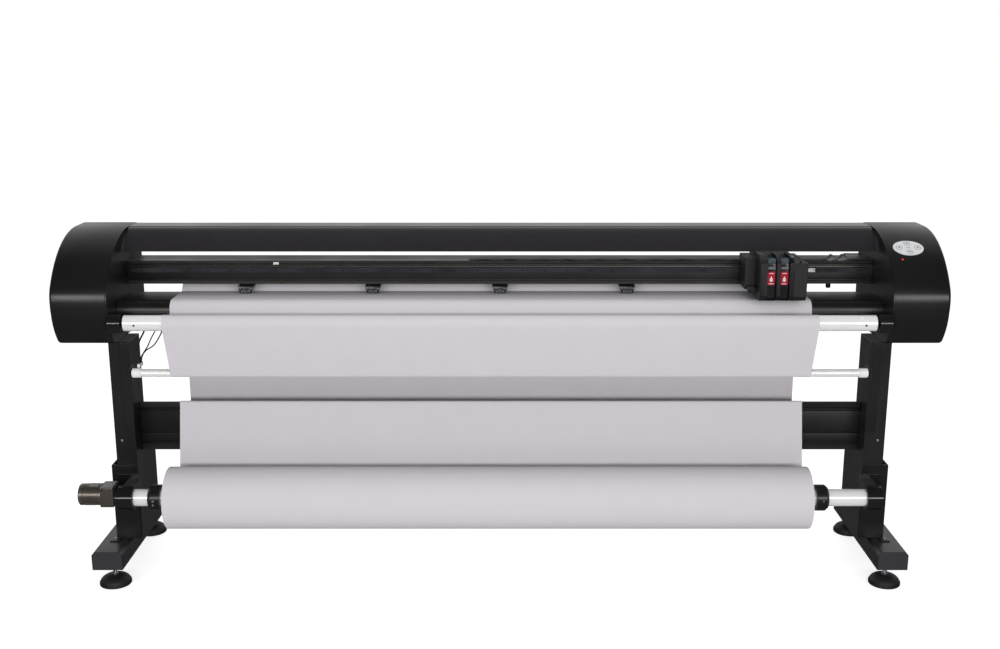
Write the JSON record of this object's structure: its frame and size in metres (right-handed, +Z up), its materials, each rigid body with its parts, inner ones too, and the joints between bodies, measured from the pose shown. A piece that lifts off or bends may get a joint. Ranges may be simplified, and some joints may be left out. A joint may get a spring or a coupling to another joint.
{
  "type": "printer cutter",
  "caption": "Wide upright garment-pattern plotter on a floor stand: sliding print carriage with lift-out cartridges, curved lid, pinch-fed platen and a motor-driven take-up roll.",
  "frame": {"origin": "centre of the bounding box in plan, on the floor under the four levelling feet", "axes": "+X along the bed towards the keypad end, -Y towards the operator, +Z up"},
  "size_m": [2.464, 0.533, 1.007],
  "materials": {
    "black_powder_coat": "satin black powder coat",
    "black_anodised": "black anodised extrusion",
    "black_moulding": "fine-textured black moulding",
    "foot_pad": "satin",
    "grey_rubber": "matt",
    "dark_rail": "blackened, ground",
    "bright_steel": "ground",
    "grit_steel": "grit coated",
    "silver_tube": "satin silver anodised",
    "motor_metal": "dark grey metallic",
    "white_paper": "uncoated white plotting paper",
    "belt_rubber": "matt",
    "flat_cable": "satin",
    "lead_jacket": "satin",
    "keypad_white": "gloss white overlay",
    "key_grey": "satin",
    "cartridge_case": "gloss black",
    "case_steel": "zinc plated"
  },
  "bodies": {
    "frame": {"foot_beam_left": "black_powder_coat", "foot_beam_right": "black_powder_coat", "leg_left": "black_powder_coat", "leg_right": "black_powder_coat", "side_plate_left": "black_powder_coat", "side_plate_right": "black_powder_coat", "top_strip": "black_powder_coat", "main_beam": "black_anodised", "cross_beam": "black_anodised", "platen": "black_anodised", "housing_left": "black_moulding", "housing_right": "black_moulding", "upper_bracket_left": "black_moulding", "upper_bracket_right": "black_moulding", "lower_bracket_left": "black_moulding", "lower_bracket_right": "black_moulding", "power_inlet": "black_moulding", "guide_rail": "dark_rail", "lift_shaft": "bright_steel", "feed_motor": "motor_metal", "carriage_motor": "motor_metal", "takeup_motor": "motor_metal", "paper_front": "white_paper", "paper_rear": "white_paper", "carriage_belt": "belt_rubber", "ribbon_cable": "flat_cable", "sensor_lead": "lead_jacket", "keypad_panel": "keypad_white", "control_box": "case_steel"},
    "levelling_foot_front_left": {"levelling_foot_front_left": "foot_pad"},
    "levelling_foot_front_right": {"levelling_foot_front_right": "foot_pad"},
    "levelling_foot_rear_left": {"levelling_foot_rear_left": "foot_pad"},
    "levelling_foot_rear_right": {"levelling_foot_rear_right": "foot_pad"},
    "front_cover": {"front_cover": "black_powder_coat"},
    "pinch_arm_1": {"pinch_arm_1": "black_moulding"},
    "pinch_wheel_1": {"pinch_wheel_1": "grey_rubber"},
    "pinch_arm_2": {"pinch_arm_2": "black_moulding"},
    "pinch_wheel_2": {"pinch_wheel_2": "grey_rubber"},
    "pinch_arm_3": {"pinch_arm_3": "black_moulding"},
    "pinch_wheel_3": {"pinch_wheel_3": "grey_rubber"},
    "pinch_arm_4": {"pinch_arm_4": "black_moulding"},
    "pinch_wheel_4": {"pinch_wheel_4": "grey_rubber"},
    "pinch_arm_5": {"pinch_arm_5": "black_moulding"},
    "pinch_wheel_5": {"pinch_wheel_5": "grey_rubber"},
    "feed_roller": {"feed_roller": "grit_steel"},
    "carriage": {"carriage": "black_moulding"},
    "cartridge_1": {"cartridge_1": "cartridge_case"},
    "cartridge_2": {"cartridge_2": "cartridge_case"},
    "drive_pulley": {"drive_pulley": "bright_steel"},
    "idler_pulley": {"idler_pulley": "bright_steel"},
    "upper_tube": {"upper_tube": "silver_tube"},
    "tension_bar": {"tension_bar": "silver_tube"},
    "key_up": {"key_up": "key_grey"},
    "key_down": {"key_down": "key_grey"},
    "key_left": {"key_left": "key_grey"},
    "key_right": {"key_right": "key_grey"},
    "takeup_roll": {"lower_tube": "silver_tube", "paper_roll": "white_paper", "roll_collar_left": "black_moulding", "roll_collar_right": "black_moulding"}
  },
  "joints": [
    {"name": "level_front_left", "type": "slide", "parent": "frame", "child": "levelling_foot_front_left", "axis": [0, 0, -1], "range_m": [0, 0.02]},
    {"name": "level_front_right", "type": "slide", "parent": "frame", "child": "levelling_foot_front_right", "axis": [0, 0, -1], "range_m": [0, 0.02]},
    {"name": "level_rear_left", "type": "slide", "parent": "frame", "child": "levelling_foot_rear_left", "axis": [0, 0, -1], "range_m": [0, 0.02]},
    {"name": "level_rear_right", "type": "slide", "parent": "frame", "child": "levelling_foot_rear_right", "axis": [0, 0, -1], "range_m": [0, 0.02]},
    {"name": "cover_hinge", "type": "hinge", "parent": "frame", "child": "front_cover", "pos_m": [0, 0.075, 1.00225], "axis": [-1, 0, 0], "range_deg": [0, 75]},
    {"name": "pinch_lift_1", "type": "hinge", "parent": "frame", "child": "pinch_arm_1", "pos_m": [-0.732, 0.058, 0.8505], "axis": [-1, 0, 0], "range_deg": [0, 5]},
    {"name": "pinch_spin_1", "type": "hinge", "parent": "pinch_arm_1", "child": "pinch_wheel_1", "pos_m": [-0.732, 0.0255, 0.8264], "axis": [1, 0, 0], "continuous": true},
    {"name": "pinch_lift_2", "type": "hinge", "parent": "frame", "child": "pinch_arm_2", "pos_m": [-0.366, 0.058, 0.8505], "axis": [-1, 0, 0], "range_deg": [0, 5]},
    {"name": "pinch_spin_2", "type": "hinge", "parent": "pinch_arm_2", "child": "pinch_wheel_2", "pos_m": [-0.366, 0.0255, 0.8264], "axis": [1, 0, 0], "continuous": true},
    {"name": "pinch_lift_3", "type": "hinge", "parent": "frame", "child": "pinch_arm_3", "pos_m": [0, 0.058, 0.8505], "axis": [-1, 0, 0], "range_deg": [0, 5]},
    {"name": "pinch_spin_3", "type": "hinge", "parent": "pinch_arm_3", "child": "pinch_wheel_3", "pos_m": [0, 0.0255, 0.8264], "axis": [1, 0, 0], "continuous": true},
    {"name": "pinch_lift_4", "type": "hinge", "parent": "frame", "child": "pinch_arm_4", "pos_m": [0.366, 0.058, 0.8505], "axis": [-1, 0, 0], "range_deg": [0, 5]},
    {"name": "pinch_spin_4", "type": "hinge", "parent": "pinch_arm_4", "child": "pinch_wheel_4", "pos_m": [0.366, 0.0255, 0.8264], "axis": [1, 0, 0], "continuous": true},
    {"name": "pinch_lift_5", "type": "hinge", "parent": "frame", "child": "pinch_arm_5", "pos_m": [0.732, 0.058, 0.8505], "axis": [-1, 0, 0], "range_deg": [0, 5]},
    {"name": "pinch_spin_5", "type": "hinge", "parent": "pinch_arm_5", "child": "pinch_wheel_5", "pos_m": [0.732, 0.0255, 0.8264], "axis": [1, 0, 0], "continuous": true},
    {"name": "feed_spin", "type": "hinge", "parent": "frame", "child": "feed_roller", "pos_m": [0, 0.0255, 0.8058], "axis": [1, 0, 0], "continuous": true},
    {"name": "carriage_slide", "type": "slide", "parent": "frame", "child": "carriage", "axis": [1, 0, 0], "range_m": [-1.72, 0.15]},
    {"name": "cartridge_lift_1", "type": "slide", "parent": "carriage", "child": "cartridge_1", "axis": [0, 0, 1], "range_m": [0, 0.09]},
    {"name": "cartridge_lift_2", "type": "slide", "parent": "carriage", "child": "cartridge_2", "axis": [0, 0, 1], "range_m": [0, 0.09]},
    {"name": "drive_pulley_spin", "type": "hinge", "parent": "frame", "child": "drive_pulley", "pos_m": [1.045, 0.1195, 0.889], "axis": [0, 1, 0], "continuous": true},
    {"name": "idler_pulley_spin", "type": "hinge", "parent": "frame", "child": "idler_pulley", "pos_m": [-1.045, 0.1195, 0.889], "axis": [0, 1, 0], "continuous": true},
    {"name": "guide_tube_spin", "type": "hinge", "parent": "frame", "child": "upper_tube", "pos_m": [0, -0.1535, 0.773], "axis": [1, 0, 0], "continuous": true},
    {"name": "tension_bar_spin", "type": "hinge", "parent": "frame", "child": "tension_bar", "pos_m": [0, -0.1035, 0.617], "axis": [1, 0, 0], "continuous": true},
    {"name": "takeup_spin", "type": "hinge", "parent": "frame", "child": "takeup_roll", "pos_m": [0, -0.1795, 0.273], "axis": [1, 0, 0], "continuous": true},
    {"name": "press_up", "type": "slide", "parent": "frame", "child": "key_up", "axis": [0, 0.521, -0.8536], "range_m": [0, 0.001], "stiffness_N_per_m": 250, "springref_m": -0.001},
    {"name": "press_down", "type": "slide", "parent": "frame", "child": "key_down", "axis": [0, 0.521, -0.8536], "range_m": [0, 0.001], "stiffness_N_per_m": 250, "springref_m": -0.001},
    {"name": "press_left", "type": "slide", "parent": "frame", "child": "key_left", "axis": [0, 0.521, -0.8536], "range_m": [0, 0.001], "stiffness_N_per_m": 250, "springref_m": -0.001},
    {"name": "press_right", "type": "slide", "parent": "frame", "child": "key_right", "axis": [0, 0.521, -0.8536], "range_m": [0, 0.001], "stiffness_N_per_m": 250, "springref_m": -0.001}
  ],
  "couplings": [
    {"joint": "pinch_lift_2", "follows": "pinch_lift_1", "ratio": 1},
    {"joint": "pinch_lift_3", "follows": "pinch_lift_1", "ratio": 1},
    {"joint": "pinch_lift_4", "follows": "pinch_lift_1", "ratio": 1},
    {"joint": "pinch_lift_5", "follows": "pinch_lift_1", "ratio": 1},
    {"joint": "drive_pulley_spin", "follows": "carriage_slide", "rad_per_m": 76.628},
    {"joint": "idler_pulley_spin", "follows": "carriage_slide", "rad_per_m": 76.628}
  ]
}
